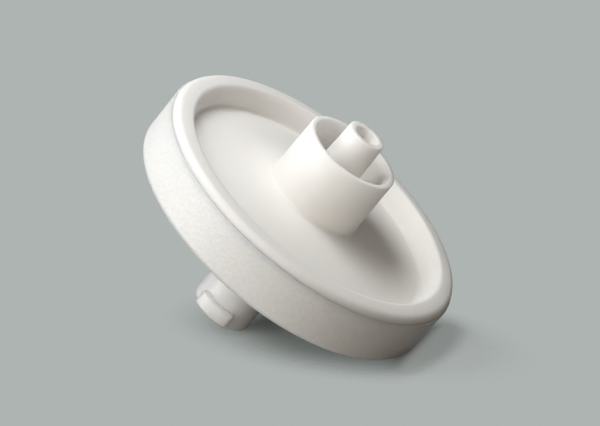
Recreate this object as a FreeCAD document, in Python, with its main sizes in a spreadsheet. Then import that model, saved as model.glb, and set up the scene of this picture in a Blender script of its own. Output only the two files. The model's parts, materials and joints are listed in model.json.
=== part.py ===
import FreeCAD, Part
import Sketcher
import math
import os

# A syringe filter: a round housing in two halves that clamp a membrane disc, held together by a
# moulded band round the edge. The inlet is a female luer socket on a stub, and the outlet is a
# male luer tip inside a threaded locking collar.
#
# Every sub-part is drawn on the filter's own axis, with level 0 at the seam between the outlet
# lip and the band, and the outlet side up. The whole filter then leans over until the rounded
# edges of the stub and of the band touch the table, which is how it lies when it is put down.
# All sizes are in millimetres.

SIZES = [
    # the rim and the dished outlet face
    ("rim_radius", 17.0, "outside of the band"),
    ("lip_inset", 0.2, "the lip's outside inside the band's"),
    ("lip_height", 1.0, "top of the lip above the seam"),
    ("lip_width", 2.0, "outside of the lip to its inner crest"),
    ("lip_fall", 0.15, "how much lower the inner crest is than the outer one"),
    ("lip_round", 0.65, "rounding of the lip's outer edge"),
    ("crest_round", 0.3, "rounding of the lip's inner crest"),
    ("dish_depth", 1.3, "edge of the dished face below the seam"),
    ("dish_draft", 0.6, "how far the lip's inner wall slopes in"),
    ("dish_fillet", 0.7, "fillet between the inner wall and the face"),
    ("face_rise", 0.25, "face at the collar's foot above the seam"),
    # the band
    ("band_height", 5.05, "seam to the underside"),
    ("band_wall", 1.5, "band's thickness round the flanges"),
    ("band_round", 0.65, "rounding of the band's lower edge"),
    ("hook_width", 0.8, "how far the band turns in under the inlet flange"),
    ("hook_thickness", 0.45, "thickness of that turned-in edge"),
    # the membrane and the chambers on its two sides
    ("membrane_depth", 2.6, "top of the membrane below the seam"),
    ("membrane_thickness", 0.2, "membrane disc"),
    ("membrane_clearance", 0.05, "gap round the membrane's edge"),
    ("locating_wall", 0.75, "wall of the inlet half round the membrane"),
    ("clamp_width", 1.25, "ring of the membrane that is clamped"),
    ("chamber_edge_gap", 0.35, "chamber depth at its edge"),
    ("chamber_centre_gap", 1.0, "chamber depth at its centre"),
    ("rib_count", 16, "ribs that hold the membrane off each half"),
    ("rib_width", 0.7, "one rib"),
    ("rib_inner_radius", 2.4, "where the ribs start"),
    ("rib_bite", 0.3, "how far a rib runs into the wall it stands on"),
    # the locking collar and its two-start thread
    ("collar_radius", 5.05, "outside of the collar"),
    ("collar_height", 6.6, "collar's rim above the seam"),
    ("collar_edge_round", 0.12, "rounding of the collar's outer edge"),
    ("collar_foot_fillet", 0.4, "fillet at the collar's foot"),
    ("thread_root_radius", 4.05, "collar's inside wall"),
    ("lead_in_width", 0.45, "bevel inside the collar's rim"),
    ("lead_in_depth", 0.7, "depth of that bevel"),
    ("thread_crest_radius", 3.55, "crest of the thread's ridges"),
    ("thread_lead", 5.0, "advance in one turn"),
    ("thread_rise", 2.6, "how far one ridge climbs"),
    ("thread_start", 0.5, "foot of the ridges above the collar's floor"),
    ("ridge_root_width", 1.0, "ridge at the wall"),
    ("ridge_crest_width", 0.4, "ridge at its crest"),
    # the luer tapers
    ("luer_taper", 0.06, "change of diameter along a luer taper"),
    ("tip_radius", 2.0, "male tip at its end"),
    ("tip_reach", 8.9, "end of the male tip above the seam"),
    ("tip_length", 7.8, "end of the male tip above the collar's floor"),
    ("tip_round", 0.15, "rounding of the tip's end"),
    ("outlet_bore_radius", 1.25, "passage through the tip"),
    ("outlet_mouth_chamfer", 0.2, "chamfer at the passage's mouth"),
    # the inlet stub
    ("inlet_reach", 16.0, "end of the stub below the seam"),
    ("stub_radius", 3.22, "outside of the stub"),
    ("stub_round", 0.65, "rounding of the stub's end"),
    ("stub_foot_fillet", 0.5, "fillet at the stub's foot"),
    ("socket_mouth_radius", 2.15, "female taper at its mouth"),
    ("socket_depth", 8.0, "length of the female taper"),
    ("socket_mouth_chamfer", 0.2, "chamfer at the taper's mouth"),
    ("inlet_bore_radius", 1.25, "passage from the taper to the chamber"),
    ("lug_radius", 3.85, "outside of the two locking lugs"),
    ("lug_height", 1.95, "lug along the axis"),
    ("lug_setback", 0.15, "lugs back from the stub's end"),
    ("lug_angle", 63, "degrees that one lug covers"),
    ("lug_turn", 3.5, "degrees that the lugs sit off the filter's two sides"),
    ("lug_ramp", 0.45, "height of the slope under each lug"),
    ("lug_edge_bevel", 0.15, "bevel of the lugs' upper edge"),
]

doc = FreeCAD.newDocument("SyringeFilter")
sheet = doc.addObject("Spreadsheet::Sheet", "Sizes")
for row, (alias, value, meaning) in enumerate(SIZES, start=1):
    sheet.set(f"A{row}", alias)
    sheet.set(f"B{row}", str(value))
    sheet.set(f"C{row}", meaning)
    sheet.setAlias(f"B{row}", alias)
doc.recompute()

# Sizes that two or more sub-parts share, as expressions on the sheet's cells.
LIP_RADIUS = "(Sizes.rim_radius - Sizes.lip_inset)"
FLANGE_RADIUS = "(Sizes.rim_radius - Sizes.band_wall)"
RECESS_RADIUS = f"({FLANGE_RADIUS} - Sizes.locating_wall)"
MEMBRANE_RADIUS = f"({RECESS_RADIUS} - Sizes.membrane_clearance)"
CHAMBER_RADIUS = f"({MEMBRANE_RADIUS} - Sizes.clamp_width)"
HOOK_RADIUS = f"({FLANGE_RADIUS} - Sizes.hook_width)"
UNDERSIDE = "(-Sizes.band_height)"
HOOK_TOP = f"({UNDERSIDE} + Sizes.hook_thickness)"
MEMBRANE_TOP = "(-Sizes.membrane_depth)"
MEMBRANE_BOTTOM = f"({MEMBRANE_TOP} - Sizes.membrane_thickness)"
STUB_END = "(-Sizes.inlet_reach)"
TINY = 1e-4


def value_of(expression):
    return float(sheet.evalExpression(expression))


def origin_feature(body, role):
    return next(f for f in body.Origin.OriginFeatures if f.Role == role)


def new_body(name):
    body = doc.addObject("PartDesign::Body", name)
    body.Label = name
    return body


def draw_outline(body, name, points, plane="XZ_Plane"):
    """A closed outline whose corners are (distance from the axis, level) expressions."""
    sketch = body.newObject("Sketcher::SketchObject", name)
    sketch.AttachmentSupport = (origin_feature(body, plane), [""])
    sketch.MapMode = "FlatFace"
    corners = [FreeCAD.Vector(value_of(across), value_of(level), 0) for across, level in points]
    count = len(corners)
    for i in range(count):
        sketch.addGeometry(Part.LineSegment(corners[i], corners[(i + 1) % count]), False)
    for i in range(count):
        sketch.addConstraint(Sketcher.Constraint("Coincident", i, 2, (i + 1) % count, 1))
    for i, (across, level) in enumerate(points):
        x = sketch.addConstraint(Sketcher.Constraint("DistanceX", -1, 1, i, 1, corners[i].x))
        sketch.setExpression(f"Constraints[{x}]", across)
        y = sketch.addConstraint(Sketcher.Constraint("DistanceY", -1, 1, i, 1, corners[i].y))
        sketch.setExpression(f"Constraints[{y}]", level)
    return sketch


def revolve(body, name, sketch, angle="360"):
    turned = body.newObject("PartDesign::Revolution", name)
    turned.Profile = sketch
    turned.ReferenceAxis = (sketch, ["V_Axis"])
    turned.Midplane = True
    turned.setExpression("Angle", angle)
    doc.recompute()
    return turned


def pattern_round_axis(body, name, feature, count):
    pattern = body.newObject("PartDesign::PolarPattern", name)
    pattern.Originals = [feature]
    pattern.Axis = (origin_feature(body, "Z_Axis"), [""])
    pattern.Angle = 360
    pattern.setExpression("Occurrences", count)
    body.Tip = pattern
    doc.recompute()
    return pattern


def circles_at(shape, radius, level):
    """Names of the circular edges round the axis with this radius at this level."""
    names = []
    for i, edge in enumerate(shape.Edges, start=1):
        if not isinstance(edge.Curve, Part.Circle):
            continue
        centre = edge.Curve.Center
        on_axis = math.hypot(centre.x, centre.y) < TINY
        if on_axis and abs(edge.Curve.Radius - radius) < TINY and abs(centre.z - level) < TINY:
            names.append(f"Edge{i}")
    return names


def round_off(body, name, radius, level, size, kind="Fillet"):
    """Fillet or chamfer the circular edges at one radius and level."""
    base = body.Tip
    edges = circles_at(base.Shape, value_of(radius), value_of(level))
    if not edges:
        raise RuntimeError(f"{name}: no edge to round")
    feature = body.newObject(f"PartDesign::{kind}", name)
    feature.Base = (base, edges)
    feature.setExpression("Radius" if kind == "Fillet" else "Size", size)
    body.Tip = feature
    doc.recompute()
    return feature


def add_ribs(body, tips, wall_centre, wall_edge, bite):
    """Radial ribs from a half's conical chamber wall to the membrane."""
    start = "Sizes.rib_inner_radius"
    slope = f"({wall_edge} - {wall_centre}) / {CHAMBER_RADIUS}"
    end = f"({CHAMBER_RADIUS} + Sizes.rib_bite)"
    outline = draw_outline(body, "RibOutline", [
        (start, tips),
        (end, tips),
        (end, f"{wall_edge} + {bite}"),
        (start, f"{wall_centre} + {slope} * {start} + {bite}"),
    ])
    rib = body.newObject("PartDesign::Pad", "Rib")
    rib.Profile = outline
    rib.Midplane = True
    rib.setExpression("Length", "Sizes.rib_width")
    doc.recompute()
    pattern_round_axis(body, "Ribs", rib, "Sizes.rib_count")


def make_outlet_housing():
    """The opaque half: lip, dished face, locking collar and male luer tip."""
    body = new_body("outlet_housing")
    crest_radius = f"({LIP_RADIUS} - Sizes.lip_width)"
    crest_level = "(Sizes.lip_height - Sizes.lip_fall)"
    dish_radius = f"({crest_radius} - Sizes.dish_draft)"
    collar_floor = "(Sizes.tip_reach - Sizes.tip_length)"
    tip_root_radius = "(Sizes.tip_radius + Sizes.luer_taper / 2 * Sizes.tip_length)"
    roof_edge = f"({MEMBRANE_TOP} + Sizes.chamber_edge_gap)"
    roof_centre = f"({MEMBRANE_TOP} + Sizes.chamber_centre_gap)"
    outline = draw_outline(body, "OutletOutline", [
        ("Sizes.outlet_bore_radius", roof_centre),
        (CHAMBER_RADIUS, roof_edge),
        (CHAMBER_RADIUS, MEMBRANE_TOP),
        (FLANGE_RADIUS, MEMBRANE_TOP),
        (FLANGE_RADIUS, "0"),
        (LIP_RADIUS, "0"),
        (LIP_RADIUS, "Sizes.lip_height"),
        (crest_radius, crest_level),
        (dish_radius, "-Sizes.dish_depth"),
        ("Sizes.collar_radius", "Sizes.face_rise"),
        ("Sizes.collar_radius", "Sizes.collar_height"),
        ("Sizes.thread_root_radius + Sizes.lead_in_width", "Sizes.collar_height"),
        ("Sizes.thread_root_radius", "Sizes.collar_height - Sizes.lead_in_depth"),
        ("Sizes.thread_root_radius", collar_floor),
        (tip_root_radius, collar_floor),
        ("Sizes.tip_radius", "Sizes.tip_reach"),
        ("Sizes.outlet_bore_radius", "Sizes.tip_reach"),
    ])
    revolve(body, "OutletShell", outline)
    round_off(body, "LipRound", LIP_RADIUS, "Sizes.lip_height", "Sizes.lip_round")
    round_off(body, "CrestRound", crest_radius, crest_level, "Sizes.crest_round")
    round_off(body, "DishFillet", dish_radius, "-Sizes.dish_depth", "Sizes.dish_fillet")
    round_off(body, "CollarFoot", "Sizes.collar_radius", "Sizes.face_rise",
              "Sizes.collar_foot_fillet")
    round_off(body, "CollarEdge", "Sizes.collar_radius", "Sizes.collar_height",
              "Sizes.collar_edge_round")
    round_off(body, "TipRound", "Sizes.tip_radius", "Sizes.tip_reach", "Sizes.tip_round")
    round_off(body, "TipMouth", "Sizes.outlet_bore_radius", "Sizes.tip_reach",
              "Sizes.outlet_mouth_chamfer", kind="Chamfer")
    add_thread(body, collar_floor)
    add_ribs(body, MEMBRANE_TOP, roof_centre, roof_edge, "Sizes.rib_bite")
    return body


def add_thread(body, collar_floor):
    """Two ridges that climb the collar's inside wall, half a turn apart."""
    foot = f"({collar_floor} + Sizes.thread_start)"
    inset = "(Sizes.ridge_root_width - Sizes.ridge_crest_width) / 2"
    flank = f"({inset}) / (Sizes.thread_root_radius - Sizes.thread_crest_radius)"
    bite = "0.4 * (Sizes.collar_radius - Sizes.thread_root_radius)"
    outline = draw_outline(body, "RidgeOutline", [
        ("Sizes.thread_crest_radius", f"{foot} + {inset}"),
        ("Sizes.thread_crest_radius", f"{foot} + {inset} + Sizes.ridge_crest_width"),
        (f"Sizes.thread_root_radius + {bite}",
         f"{foot} + Sizes.ridge_root_width + {flank} * {bite}"),
        (f"Sizes.thread_root_radius + {bite}", f"{foot} - {flank} * {bite}"),
    ])
    ridge = body.newObject("PartDesign::AdditiveHelix", "Ridge")
    ridge.Profile = outline
    ridge.ReferenceAxis = (outline, ["V_Axis"])
    ridge.Mode = "pitch-height-angle"
    ridge.setExpression("Pitch", "Sizes.thread_lead")
    ridge.setExpression("Height", "Sizes.thread_rise")
    ridge.LeftHanded = False
    doc.recompute()
    pattern_round_axis(body, "Thread", ridge, "2")


def make_inlet_housing():
    """The translucent half: lower disc, stub with the female luer socket, and two lugs."""
    body = new_body("inlet_housing")
    floor_edge = f"({MEMBRANE_BOTTOM} - Sizes.chamber_edge_gap)"
    floor_centre = f"({MEMBRANE_BOTTOM} - Sizes.chamber_centre_gap)"
    socket_end_radius = "(Sizes.socket_mouth_radius - Sizes.luer_taper / 2 * Sizes.socket_depth)"
    socket_end = f"({STUB_END} + Sizes.socket_depth)"
    outline = draw_outline(body, "InletOutline", [
        ("Sizes.inlet_bore_radius", floor_centre),
        (CHAMBER_RADIUS, floor_edge),
        (CHAMBER_RADIUS, MEMBRANE_BOTTOM),
        (RECESS_RADIUS, MEMBRANE_BOTTOM),
        (RECESS_RADIUS, MEMBRANE_TOP),
        (FLANGE_RADIUS, MEMBRANE_TOP),
        (FLANGE_RADIUS, HOOK_TOP),
        (HOOK_RADIUS, HOOK_TOP),
        (HOOK_RADIUS, UNDERSIDE),
        ("Sizes.stub_radius", UNDERSIDE),
        ("Sizes.stub_radius", STUB_END),
        ("Sizes.socket_mouth_radius", STUB_END),
        (socket_end_radius, socket_end),
        ("Sizes.inlet_bore_radius", socket_end),
    ])
    revolve(body, "InletShell", outline)
    round_off(body, "StubFoot", "Sizes.stub_radius", UNDERSIDE, "Sizes.stub_foot_fillet")
    round_off(body, "StubRound", "Sizes.stub_radius", STUB_END, "Sizes.stub_round")
    round_off(body, "SocketMouth", "Sizes.socket_mouth_radius", STUB_END,
              "Sizes.socket_mouth_chamfer", kind="Chamfer")
    add_lugs(body)
    add_ribs(body, MEMBRANE_BOTTOM, floor_centre, floor_edge, "-Sizes.rib_bite")
    return body


def add_lugs(body):
    """Two lugs near the stub's end, close to the filter's two sides as it lies."""
    lug_bottom = f"({STUB_END} + Sizes.lug_setback)"
    lug_top = f"({lug_bottom} + Sizes.lug_height)"
    inside = "(Sizes.socket_mouth_radius + Sizes.stub_radius) / 2"
    outline = draw_outline(body, "LugOutline", [
        (inside, lug_bottom),
        ("Sizes.stub_radius", lug_bottom),
        ("Sizes.lug_radius", f"{lug_bottom} + Sizes.lug_ramp"),
        ("Sizes.lug_radius", f"{lug_top} - Sizes.lug_edge_bevel"),
        ("Sizes.lug_radius - Sizes.lug_edge_bevel", lug_top),
        (inside, lug_top),
    ], plane="YZ_Plane")
    turn = FreeCAD.Rotation(FreeCAD.Vector(0, -1, 0), value_of("Sizes.lug_turn"))
    outline.AttachmentOffset = FreeCAD.Placement(FreeCAD.Vector(), turn)
    outline.setExpression("AttachmentOffset.Rotation.Angle", "Sizes.lug_turn")
    lug = revolve(body, "Lug", outline, angle="Sizes.lug_angle")
    pattern_round_axis(body, "Lugs", lug, "2")


def make_sealing_band():
    """The band that is moulded round both flanges and hooks under the inlet half."""
    body = new_body("sealing_band")
    outline = draw_outline(body, "BandOutline", [
        (FLANGE_RADIUS, "0"),
        ("Sizes.rim_radius", "0"),
        ("Sizes.rim_radius", UNDERSIDE),
        (HOOK_RADIUS, UNDERSIDE),
        (HOOK_RADIUS, HOOK_TOP),
        (FLANGE_RADIUS, HOOK_TOP),
    ])
    revolve(body, "Band", outline)
    round_off(body, "BandRound", "Sizes.rim_radius", UNDERSIDE, "Sizes.band_round")
    return body


def make_membrane():
    """The filter disc, clamped at its edge and held between the two sets of ribs."""
    membrane = doc.addObject("Part::Cylinder", "filter_membrane")
    membrane.Label = "filter_membrane"
    membrane.setExpression("Radius", MEMBRANE_RADIUS)
    membrane.setExpression("Height", "Sizes.membrane_thickness")
    return membrane


def resting_placement():
    """Lean the filter until two rounded edges touch the table, and centre it over the origin."""
    stub_round = value_of("Sizes.stub_round")
    band_round = value_of("Sizes.band_round")
    lip_round = value_of("Sizes.lip_round")
    stub_arc = (value_of("Sizes.stub_radius") - stub_round, value_of(STUB_END) + stub_round)
    band_arc = (value_of("Sizes.rim_radius") - band_round, value_of(UNDERSIDE) + band_round)
    lip_arc = (value_of(LIP_RADIUS) - lip_round, value_of("Sizes.lip_height") - lip_round)
    run = band_arc[0] - stub_arc[0]
    climb = band_arc[1] - stub_arc[1]
    lean = math.atan2(climb, run) + math.asin((stub_round - band_round) / math.hypot(run, climb))
    front = lip_arc[0] * math.cos(lean) + lip_arc[1] * math.sin(lean) + lip_round
    back = -band_arc[0] * math.cos(lean) + band_arc[1] * math.sin(lean) - band_round
    depth = stub_arc[0] * math.sin(lean) - stub_arc[1] * math.cos(lean) + stub_round
    shift = FreeCAD.Vector(-(front + back) / 2, 0, depth)
    turn = FreeCAD.Rotation(FreeCAD.Vector(0, 1, 0), math.degrees(lean))
    return FreeCAD.Placement(shift, turn)


outlet_housing = make_outlet_housing()
inlet_housing = make_inlet_housing()
sealing_band = make_sealing_band()
filter_membrane = make_membrane()
sub_parts = [outlet_housing, inlet_housing, sealing_band, filter_membrane]

resting = resting_placement()
for body in (outlet_housing, inlet_housing, sealing_band):
    body.Placement = resting
level = FreeCAD.Placement(FreeCAD.Vector(0, 0, value_of(MEMBRANE_BOTTOM)), FreeCAD.Rotation())
filter_membrane.Placement = resting.multiply(level)
doc.recompute()

for item in doc.Objects:
    if "Invalid" in item.State or "Error" in item.State:
        raise RuntimeError(f"{item.Name} failed: {item.State}")
for part in sub_parts:
    if part.Shape.isNull() or not part.Shape.isValid() or len(part.Shape.Solids) != 1:
        raise RuntimeError(f"{part.Label} is not one valid solid")

os.makedirs("parts", exist_ok=True)
for part in sub_parts:
    part.Shape.exportStep(f"parts/{part.Label}.step")
    print(f"{part.Label}: {part.Shape.Volume:.1f} mm3")
print(f"leans {math.degrees(resting.Rotation.Angle):.2f} degrees, stands at {resting.Base}")
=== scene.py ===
import json
import math

import bmesh
import bpy
from mathutils import Matrix, Vector


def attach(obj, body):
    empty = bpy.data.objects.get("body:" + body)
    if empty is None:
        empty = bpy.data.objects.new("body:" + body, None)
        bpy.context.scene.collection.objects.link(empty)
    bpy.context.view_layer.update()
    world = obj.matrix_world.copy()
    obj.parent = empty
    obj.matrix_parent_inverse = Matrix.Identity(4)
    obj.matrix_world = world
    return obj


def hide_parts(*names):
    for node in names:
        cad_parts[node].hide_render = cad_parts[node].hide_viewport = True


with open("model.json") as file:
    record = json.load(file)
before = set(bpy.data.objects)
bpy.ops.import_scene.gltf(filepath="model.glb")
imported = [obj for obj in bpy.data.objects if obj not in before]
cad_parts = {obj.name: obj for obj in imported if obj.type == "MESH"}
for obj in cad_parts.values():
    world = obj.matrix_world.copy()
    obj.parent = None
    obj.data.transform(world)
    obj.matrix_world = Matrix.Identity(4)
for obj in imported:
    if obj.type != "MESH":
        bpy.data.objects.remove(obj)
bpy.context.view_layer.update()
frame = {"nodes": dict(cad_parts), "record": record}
print("frame loaded")

# Pieces are drawn in millimetres on the filter's own axis, with level 0 at the seam and the
# outlet side up, and then leant over onto the table where the record's tip mount says.
millimetre = 0.001
tipReach = 8.9
mounts = {mount["name"]: mount for mount in frame["record"]["mounts"]}
tipMount = mounts["outlet_luer_tip"]
flowAxis = Vector(tipMount["axis"])
seamCentre = Vector(tipMount["pos_m"]) - flowAxis * tipReach * millimetre
lean = math.atan2(flowAxis.x, flowAxis.z)
leanOver = Matrix.Translation(seamCentre) @ Matrix.Rotation(lean, 4, "Y") @ Matrix.Scale(millimetre, 4)


def addObject(name, data):
    added = bpy.data.objects.new(name, data)
    bpy.context.scene.collection.objects.link(added)
    return added


def newMaterial(name):
    material = bpy.data.materials.new(name)
    material.use_nodes = True
    material.node_tree.nodes.clear()
    return material


def addNode(tree, kind, sockets=None, **settings):
    node = tree.nodes.new(kind)
    for setting, value in settings.items():
        setattr(node, setting, value)
    for entry, value in (sockets or {}).items():
        node.inputs[entry].default_value = value
    return node


# each link is a node and its output, then the node it goes to and that one's input
def linkNodes(tree, *links):
    for source, output, target, entry in links:
        tree.links.new(source.outputs[output], target.inputs[entry])


# where a Mix node of colours has its factor, its two colours and its result
mixFactor, mixFirst, mixSecond, mixResult = 0, 6, 7, 2


def mixColours(tree, first, second):
    return addNode(tree, "ShaderNodeMix", {mixFirst: (*first, 1), mixSecond: (*second, 1)}, data_type="RGBA")


# the plastics are all polypropylene, which scatters light all through
polypropylene = {"IOR": 1.49, "Subsurface Weight": 1.0}
cloudNoise = {"Detail": 3.0, "Roughness": 0.55}
cloudFrom, cloudTo = 0.35, 0.7  # the noise's levels between which the clouds come in
glossNoise = {"Detail": 4.0, "Roughness": 0.6}
grainNoise = {"Detail": 2.0, "Roughness": 0.5}


def mouldedPlastic(name, look):
    material = newMaterial(name)
    tree = material.node_tree
    place = addNode(tree, "ShaderNodeTexCoord")
    shader = addNode(tree, "ShaderNodeBsdfPrincipled", {
        **polypropylene, "Subsurface Radius": look["scatterRadius"], "Subsurface Scale": look["scatterScale"],
    })
    finish = addNode(tree, "ShaderNodeOutputMaterial")
    linkNodes(tree, (shader, "BSDF", finish, "Surface"))

    # faint flow clouding in the plastic
    cloud = addNode(tree, "ShaderNodeTexNoise", {"Scale": look["cloudScale"], **cloudNoise})
    spread = addNode(tree, "ShaderNodeMapRange", {"From Min": cloudFrom, "From Max": cloudTo})
    tint = mixColours(tree, look["colour"], look["cloudColour"])
    linkNodes(tree, (place, "Object", cloud, "Vector"), (cloud, "Fac", spread, "Value"),
              (spread, "Result", tint, mixFactor), (tint, mixResult, shader, "Base Color"))

    # satin mould skin: uneven gloss and a very fine grain
    gloss = addNode(tree, "ShaderNodeTexNoise", {"Scale": look["glossScale"], **glossNoise})
    smoothest, roughest = look["roughness"]
    glossRange = addNode(tree, "ShaderNodeMapRange", {"To Min": smoothest, "To Max": roughest})
    grain = addNode(tree, "ShaderNodeTexNoise", {"Scale": look["grainScale"], **grainNoise})
    bump = addNode(tree, "ShaderNodeBump", {
        "Strength": look["grainStrength"], "Distance": look["grainDepth"],
    })
    linkNodes(tree, (place, "Object", gloss, "Vector"), (gloss, "Fac", glossRange, "Value"),
              (glossRange, "Result", shader, "Roughness"), (place, "Object", grain, "Vector"),
              (grain, "Fac", bump, "Height"), (bump, "Normal", shader, "Normal"))
    return material


whiteLook = {
    "colour": (0.93, 0.912, 0.89),
    "cloudColour": (0.905, 0.886, 0.862),
    "cloudScale": 160.0,
    "scatterRadius": (1.0, 1.0, 1.0),
    "scatterScale": 0.0014,
    "roughness": (0.5, 0.62),
    "glossScale": 700.0,
    "grainScale": 4500.0,
    "grainStrength": 0.25,
    "grainDepth": 0.00002,
}
naturalLook = {
    "colour": (0.95, 0.98, 0.965),
    "cloudColour": (0.925, 0.955, 0.94),
    "cloudScale": 200.0,
    "scatterRadius": (0.9, 1.0, 1.0),
    "scatterScale": 0.002,
    "roughness": (0.2, 0.32),
    "glossScale": 700.0,
    "grainScale": 4500.0,
    "grainStrength": 0.2,
    "grainDepth": 0.00002,
}
bandLook = {
    "colour": (0.902, 0.898, 0.888),
    "cloudColour": (0.85, 0.843, 0.828),
    "cloudScale": 3000.0,
    "scatterRadius": (1.0, 0.95, 0.85),
    "scatterScale": 0.001,
    "roughness": (0.34, 0.5),
    "glossScale": 800.0,
    "grainScale": 2600.0,
    "grainStrength": 0.9,
    "grainDepth": 0.00006,
}
whitePlastic = mouldedPlastic("whitePolypropylene", whiteLook)
naturalPlastic = mouldedPlastic("naturalPolypropylene", naturalLook)
bandPlastic = mouldedPlastic("bandPolypropylene", bandLook)
print("plastics mixed")


def addLoop(bm, places):
    corners = [bm.verts.new(place) for place in places]
    sides = [bm.edges.new((corners[i - 1], corners[i])) for i in range(len(corners))]
    return corners, sides


def turnOutline(outline, steps):
    bm = bmesh.new()
    corners, sides = addLoop(bm, [(radius, 0, level) for radius, level in outline])
    bmesh.ops.spin(bm, geom=corners + sides, cent=(0, 0, 0), axis=(0, 0, 1), dvec=(0, 0, 0),
                   angle=math.tau, steps=steps, use_merge=True, use_duplicate=False)
    bmesh.ops.recalc_face_normals(bm, faces=bm.faces)
    return bm


def roundRing(bm, radius, level, size, segments):
    near = 0.003

    def onRing(vert):
        return abs(math.hypot(vert.co.x, vert.co.y) - radius) < near and abs(vert.co.z - level) < near

    ring = [edge for edge in bm.edges if onRing(edge.verts[0]) and onRing(edge.verts[1])]
    if not ring:
        raise ValueError(f"no ring of radius {radius} at level {level}")
    bmesh.ops.bevel(bm, geom=ring, offset=size, offset_type="OFFSET", segments=segments, profile=0.5,
                    affect="EDGES", material=-1, clamp_overlap=False)


def turnPiece(piece):
    bm = turnOutline(piece["outline"], piece["steps"])
    for radius, level, size, segments in piece["rounds"]:
        roundRing(bm, radius, level, size, segments)
    return bm


# a loop of corners, turned to its first angle and then swept part of the way round the axis
def sweepLoop(bm, places, first, angle, steps, rise=0):
    corners, sides = addLoop(bm, places)
    bmesh.ops.rotate(bm, cent=(0, 0, 0), verts=corners, matrix=Matrix.Rotation(first, 3, "Z"))
    bmesh.ops.spin(bm, geom=corners + sides, cent=(0, 0, 0), axis=(0, 0, 1), dvec=(0, 0, rise / steps),
                   angle=angle, steps=steps, use_merge=False, use_duplicate=False)


def closeEnds(bm):
    bmesh.ops.holes_fill(bm, edges=[edge for edge in bm.edges if edge.is_boundary], sides=0)


def addRibs(bm, ribs):
    for number in range(ribs["count"]):
        corners = [bm.verts.new((radius, -ribs["width"] / 2, level)) for radius, level in ribs["outline"]]
        face = bm.faces.new(corners)
        grown = bmesh.ops.extrude_face_region(bm, geom=[face], use_keep_orig=True)["geom"]
        moved = [item for item in grown if isinstance(item, bmesh.types.BMVert)]
        bmesh.ops.translate(bm, vec=(0, ribs["width"], 0), verts=moved)
        bmesh.ops.rotate(bm, cent=(0, 0, 0), verts=corners + moved,
                         matrix=Matrix.Rotation(math.tau * number / ribs["count"], 3, "Z"))


# one closed skin from a turned shell and the solids that grow out of it
def uniteSolids(shell, additions):
    solids = []
    for bm in (shell, additions):
        mesh = bpy.data.meshes.new("solid")
        bmesh.ops.recalc_face_normals(bm, faces=bm.faces)
        bm.to_mesh(mesh)
        bm.free()
        solids.append(addObject("solid", mesh))
    union = solids[0].modifiers.new("union", "BOOLEAN")
    union.operation = "UNION"
    union.solver = "EXACT"
    union.object = solids[1]
    depsgraph = bpy.context.evaluated_depsgraph_get()
    unitedMesh = bpy.data.meshes.new_from_object(solids[0].evaluated_get(depsgraph))
    united = bmesh.new()
    united.from_mesh(unitedMesh)
    bpy.data.meshes.remove(unitedMesh)
    for solid in solids:
        bpy.data.meshes.remove(solid.data)
    return united


sharpAngle = math.radians(38)  # an edge that turns more than this stays crisp


def finishPiece(bm, name, node, material):
    bmesh.ops.transform(bm, matrix=leanOver, verts=bm.verts)
    mesh = bpy.data.meshes.new(name)
    bm.to_mesh(mesh)
    bm.free()
    mesh.polygons.foreach_set("use_smooth", [True] * len(mesh.polygons))
    mesh.set_sharp_from_angle(angle=sharpAngle)
    mesh.materials.append(material)
    piece = addObject(name, mesh)
    weighted = piece.modifiers.new("weightedNormals", "WEIGHTED_NORMAL")
    weighted.keep_sharp = True
    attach(piece, "root")
    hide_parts(node)
    print(name, "made,", len(mesh.polygons), "faces")


# outlet housing: lip, dished face, locking collar with its thread, and male luer tip
outlet = {
    "outline": [
        # radius, level
        (1.25, -1.6), (13.45, -2.25), (13.45, -2.6), (15.5, -2.6), (15.5, 0.0), (16.85, 0.0),
        (16.85, 0.9), (14.9, 1.1), (14.35, 0.0), (14.15, -1.3), (5.1, 0.25), (5.0, 6.6), (4.5, 6.6),
        (4.05, 5.9), (4.05, 1.1), (2.234, 1.1), (2.0, tipReach), (1.25, tipReach),
    ],
    "steps": 192,
    "rounds": [
        # radius, level, size, segments
        (16.85, 0.9, 0.7, 12), (14.9, 1.1, 0.25, 6), (14.35, 0.0, 0.4, 4), (14.15, -1.3, 0.4, 8),
        (5.1, 0.25, 0.36, 6), (5.0, 6.6, 0.12, 4), (4.5, 6.6, 0.05, 2), (4.05, 5.9, 0.08, 2),
        (4.05, 1.1, 0.2, 3), (2.234, 1.1, 0.25, 4), (2.0, tipReach, 0.15, 5), (1.25, tipReach, 0.14, 3),
    ],
    "ribs": {
        "count": 16,
        "width": 0.7,
        "outline": [(2.4, -2.6), (13.75, -2.6), (13.75, -1.95), (2.4, -1.43)],
    },
    "thread": {
        "starts": 2,
        "first": math.radians(0.9),  # off the collar's own mesh lines, so that no edge falls on another
        "turn": math.radians(187),
        "rise": 2.6,
        "steps": 72,
        "ridge": [(3.55, 1.9), (3.55, 2.3), (4.25, 2.72), (4.25, 1.48)],
    },
}


def addThread(bm, thread):
    for start in range(thread["starts"]):
        sweepLoop(bm, [(radius, 0, level) for radius, level in thread["ridge"]],
                  first=thread["first"] + math.tau * start / thread["starts"],
                  angle=thread["turn"], steps=thread["steps"], rise=thread["rise"])
    closeEnds(bm)


outletAdditions = bmesh.new()
addThread(outletAdditions, outlet["thread"])
addRibs(outletAdditions, outlet["ribs"])
outletShape = uniteSolids(turnPiece(outlet), outletAdditions)
finishPiece(outletShape, "outletHousing", "outlet_housing", whitePlastic)

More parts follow.
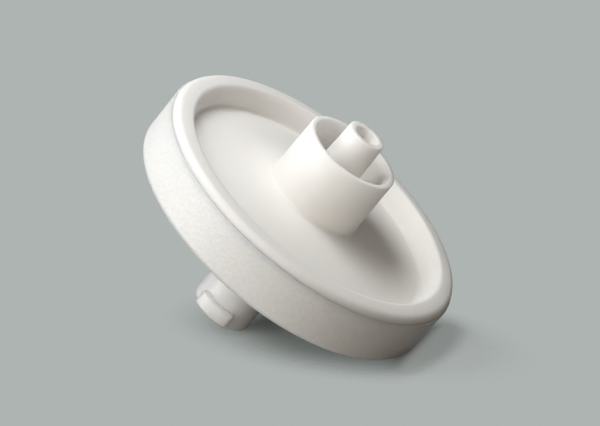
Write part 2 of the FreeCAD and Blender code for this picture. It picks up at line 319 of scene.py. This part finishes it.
# inlet housing: lower disc, and luer stub with its two lugs
inlet = {
    "outline": [
        (1.25, -3.8), (13.45, -3.15), (13.45, -2.8), (14.75, -2.8), (14.75, -2.6), (15.5, -2.6),
        (15.5, -4.6), (14.7, -4.6), (14.7, -5.05), (3.22, -5.05), (3.22, -16.0), (2.15, -16.0),
        (1.91, -8.0), (1.25, -8.0),
    ],
    "steps": 192,
    "rounds": [
        (3.22, -5.05, 0.5, 6), (3.22, -16.0, 0.62, 9), (2.15, -16.0, 0.18, 3), (14.7, -5.05, 0.06, 2),
    ],
    "ribs": {
        "count": 16,
        "width": 0.7,
        "outline": [(2.4, -2.8), (13.75, -2.8), (13.75, -3.45), (2.4, -3.97)],
    },
    "lugs": {
        "outline": [
            (2.68, -15.85), (3.22, -15.85), (3.85, -15.4), (3.85, -14.05), (3.7, -13.9), (2.68, -13.9),
        ],
        "angle": math.radians(63),
        "turn": math.radians(-3.5),
        "steps": 24,
    },
}


def addLugs(bm, lugs):
    for side in (0, math.pi):
        sweepLoop(bm, [(0, -radius, level) for radius, level in lugs["outline"]],
                  first=side + lugs["turn"] - lugs["angle"] / 2, angle=lugs["angle"], steps=lugs["steps"])
    closeEnds(bm)


inletAdditions = bmesh.new()
addLugs(inletAdditions, inlet["lugs"])
addRibs(inletAdditions, inlet["ribs"])
inletShape = uniteSolids(turnPiece(inlet), inletAdditions)
finishPiece(inletShape, "inletHousing", "inlet_housing", naturalPlastic)

# sealing band, moulded round both flanges, with a thin rim beside the lip
band = {
    "outline": [
        (15.5, 0.0), (16.86, 0.0), (16.88, 0.14), (17.0, 0.1), (17.0, -5.05), (14.7, -5.05),
        (14.7, -4.6), (15.5, -4.6),
    ],
    "steps": 256,
    "rounds": [(17.0, 0.1, 0.04, 3), (17.0, -5.05, 0.65, 9), (14.7, -5.05, 0.06, 2)],
}
finishPiece(turnPiece(band), "sealingBand", "sealing_band", bandPlastic)

# membrane: the CAD disc stays, with a fibrous filter finish
membraneLook = {
    "colour": (0.88, 0.88, 0.87),
    "fibreColour": (0.8, 0.8, 0.79),
    "fibreScale": 2500.0,
    "fibreNoise": {"Detail": 6.0, "Roughness": 0.7},
    "fibreStrength": 0.4,
    "fibreDepth": 0.00002,
    "roughness": 0.9,
}


def membraneMaterial(look):
    material = newMaterial("membraneFibre")
    tree = material.node_tree
    place = addNode(tree, "ShaderNodeTexCoord")
    fibre = addNode(tree, "ShaderNodeTexNoise", {"Scale": look["fibreScale"], **look["fibreNoise"]})
    tone = mixColours(tree, look["colour"], look["fibreColour"])
    shader = addNode(tree, "ShaderNodeBsdfPrincipled", {"Roughness": look["roughness"]})
    bump = addNode(tree, "ShaderNodeBump", {
        "Strength": look["fibreStrength"], "Distance": look["fibreDepth"],
    })
    finish = addNode(tree, "ShaderNodeOutputMaterial")
    linkNodes(tree, (place, "Object", fibre, "Vector"), (fibre, "Fac", tone, mixFactor),
              (tone, mixResult, shader, "Base Color"), (fibre, "Fac", bump, "Height"),
              (bump, "Normal", shader, "Normal"), (shader, "BSDF", finish, "Surface"))
    return material


membraneMaterials = frame["nodes"]["filter_membrane"].data.materials
membraneMaterials.clear()
membraneMaterials.append(membraneMaterial(membraneLook))
print("membrane finished")

table = {
    "halfWidth": 1.5,
    # the table's colour for camera and reflections, painted darker than the backdrop so the table round the
    # filter carries painted shade; the fade hides the step at its edge
    "seenColourWithPaintedShade": (0.44, 0.475, 0.475),
    "bounceColour": (0.08, 0.07, 0.055),
    # the table fades into the backdrop outside this oval, which paints the filter's shadow out there with the
    # backdrop's even colour
    "fadeCentre": (0.0043, 0.0017),
    "fadeRadii": (0.018, 0.011),
    "fadeTurn": math.radians(-12),
    "fadeFrom": 0.45,
    "fadeTo": 1.2,
    # and between these two lines to the right of the filter's foot its shadow is painted out by this much
    # with the backdrop's colour
    "shadowThinFrom": 0.011,
    "shadowThinTo": 0.0128,
    "shadowThinBy": 0.5,
}
backdropColour = (0.423, 0.456, 0.445)


# 1 where the camera, a reflection or a clear piece looks at the surface
def seenRays(tree):
    rays = addNode(tree, "ShaderNodeLightPath")
    first = addNode(tree, "ShaderNodeMath", operation="MAXIMUM")
    both = addNode(tree, "ShaderNodeMath", operation="MAXIMUM")
    linkNodes(tree, (rays, "Is Camera Ray", first, 0), (rays, "Is Glossy Ray", first, 1),
              (rays, "Is Transmission Ray", both, 0), (first, "Value", both, 1))
    return both


def tableMaterial():
    material = newMaterial("tablePaint")
    tree = material.node_tree
    seen = seenRays(tree)
    tone = mixColours(tree, table["bounceColour"], table["seenColourWithPaintedShade"])
    paint = addNode(tree, "ShaderNodeBsdfDiffuse")
    gone = addNode(tree, "ShaderNodeBsdfTransparent")
    place = addNode(tree, "ShaderNodeTexCoord")
    oval = addNode(tree, "ShaderNodeMapping", {
        "Location": (*table["fadeCentre"], 0), "Rotation": (0, 0, table["fadeTurn"]),
        "Scale": (*table["fadeRadii"], 1),
    }, vector_type="TEXTURE")
    # outside the oval camera and reflections see the backdrop instead of the table, painting out the filter's
    # shadow there
    reach = addNode(tree, "ShaderNodeVectorMath", operation="LENGTH")
    fade = addNode(tree, "ShaderNodeMapRange", {
        "From Min": table["fadeFrom"], "From Max": table["fadeTo"],
    }, interpolation_type="SMOOTHSTEP")
    # right of the filter's foot the table turns partly into backdrop, a painted lightening of the filter's
    # shadow
    across = addNode(tree, "ShaderNodeSeparateXYZ")
    paintedShadowThinning = addNode(tree, "ShaderNodeMapRange", {
        "From Min": table["shadowThinFrom"], "From Max": table["shadowThinTo"], "To Max": table["shadowThinBy"],
    }, interpolation_type="SMOOTHSTEP")
    stronger = addNode(tree, "ShaderNodeMath", operation="MAXIMUM")
    seenFade = addNode(tree, "ShaderNodeMath", operation="MULTIPLY")
    blend = addNode(tree, "ShaderNodeMixShader")
    finish = addNode(tree, "ShaderNodeOutputMaterial")
    linkNodes(tree, (seen, "Value", tone, mixFactor), (tone, mixResult, paint, "Color"),
              (place, "Object", oval, "Vector"), (oval, "Vector", reach, 0), (reach, "Value", fade, "Value"),
              (place, "Object", across, "Vector"), (across, "X", paintedShadowThinning, "Value"),
              (fade, "Result", stronger, 0), (paintedShadowThinning, "Result", stronger, 1),
              (stronger, "Value", seenFade, 0), (seen, "Value", seenFade, 1),
              (seenFade, "Value", blend, 0), (paint, "BSDF", blend, 1), (gone, "BSDF", blend, 2),
              (blend, "Shader", finish, "Surface"))
    return material


tableMesh = bpy.data.meshes.new("table")
tableShape = bmesh.new()
bmesh.ops.create_grid(tableShape, x_segments=1, y_segments=1, size=table["halfWidth"])
tableShape.to_mesh(tableMesh)
tableShape.free()
tableMesh.materials.append(tableMaterial())
tableTop = addObject("table", tableMesh)
print("table laid")

lamps = {
    # name: azimuth from the front towards the right, elevation, spread, strength and colour
    "upperKey": (-20, 72, 24, 0.24, (1.0, 1.0, 0.97)),
    "lowerKey": (-20, 55, 24, 0.74, (1.0, 1.0, 0.99)),
    "leftFill": (-50, 8, 40, 1.43, (0.985, 1.0, 1.0)),
    "farLeftFill": (-100, 16, 40, 0.1, (0.92, 1.0, 1.04)),
    "frontFill": (-20, 8, 40, 0.78, (0.98, 1.0, 0.97)),
    "frontRightFill": (10, 20, 30, 0.45, (1.1, 1.0, 0.91)),
    "rightFill": (30, 8, 40, 0.2, (1.25, 1.0, 0.72)),
    "backFill": (120, 65, 24, 0.13, (1.15, 1.0, 0.78)),
}
lampDistance = 0.3
# a small soft box close above the raised side
softBox = {
    "azimuth": -5,
    "elevation": 82,
    "distance": 0.08,
    "size": 0.034,
    "level": 1.55,
    "colour": (0.985, 1.0, 1.0),
}
worldLevel = 0.01


def towards(azimuth, elevation):
    turn, rise = math.radians(azimuth), math.radians(elevation)
    return Vector((math.sin(turn) * math.cos(rise), -math.cos(turn) * math.cos(rise), math.sin(rise)))


def placeLamp(light, direction, distance):
    lamp = addObject(light.name, light)
    lamp.rotation_euler = direction.to_track_quat("Z", "Y").to_euler()
    lamp.location = Vector((0, 0, seamCentre.z)) + direction * distance


for name, (azimuth, elevation, spread, strength, colour) in lamps.items():
    light = bpy.data.lights.new(name, "SUN")
    light.energy = strength
    light.angle = math.radians(spread)
    light.color = colour
    placeLamp(light, towards(azimuth, elevation), lampDistance)

boxLight = bpy.data.lights.new("softBox", "AREA")
boxLight.shape = "DISK"
boxLight.size = softBox["size"]
boxLight.energy = softBox["level"] * math.pi * softBox["distance"] ** 2
boxLight.color = softBox["colour"]
placeLamp(boxLight, towards(softBox["azimuth"], softBox["elevation"]), softBox["distance"])

world = bpy.data.worlds.new("studio")
bpy.context.scene.world = world
world.use_nodes = True
worldTree = world.node_tree
worldTree.nodes.clear()
ambient = addNode(worldTree, "ShaderNodeBackground", {"Color": (1, 1, 1, 1), "Strength": worldLevel})
backdrop = addNode(worldTree, "ShaderNodeBackground", {"Color": (*backdropColour, 1)})
worldBlend = addNode(worldTree, "ShaderNodeMixShader")
worldFinish = addNode(worldTree, "ShaderNodeOutputWorld")
linkNodes(worldTree, (seenRays(worldTree), "Value", worldBlend, 0), (ambient, "Background", worldBlend, 1),
          (backdrop, "Background", worldBlend, 2), (worldBlend, "Shader", worldFinish, "Surface"))
print("lamps lit")

view = {
    "azimuth": 19.76,
    "elevation": 16.18,
    "distance": 0.24536,
    "aside": 0.001314,
    "below": 0.001351,
    "lens": 150.0,
    "sensorWidth": 36.0,
    "clipStart": 0.01,
    "clipEnd": 10.0,
}
viewTurn = math.radians(view["azimuth"])
back = towards(view["azimuth"], view["elevation"])
right = Vector((math.cos(viewTurn), math.sin(viewTurn), 0))
up = back.cross(right)
aim = seamCentre - right * view["aside"] - up * view["below"]
camera = addObject("camera", bpy.data.cameras.new("camera"))
camera.data.lens = view["lens"]
camera.data.sensor_width = view["sensorWidth"]
camera.data.clip_start = view["clipStart"]
camera.data.clip_end = view["clipEnd"]
camera.location = aim + back * view["distance"]
camera.rotation_euler = back.to_track_quat("Z", "Y").to_euler()
bpy.context.scene.camera = camera
bpy.context.scene.view_settings.view_transform = "Standard"

print("scene ready")
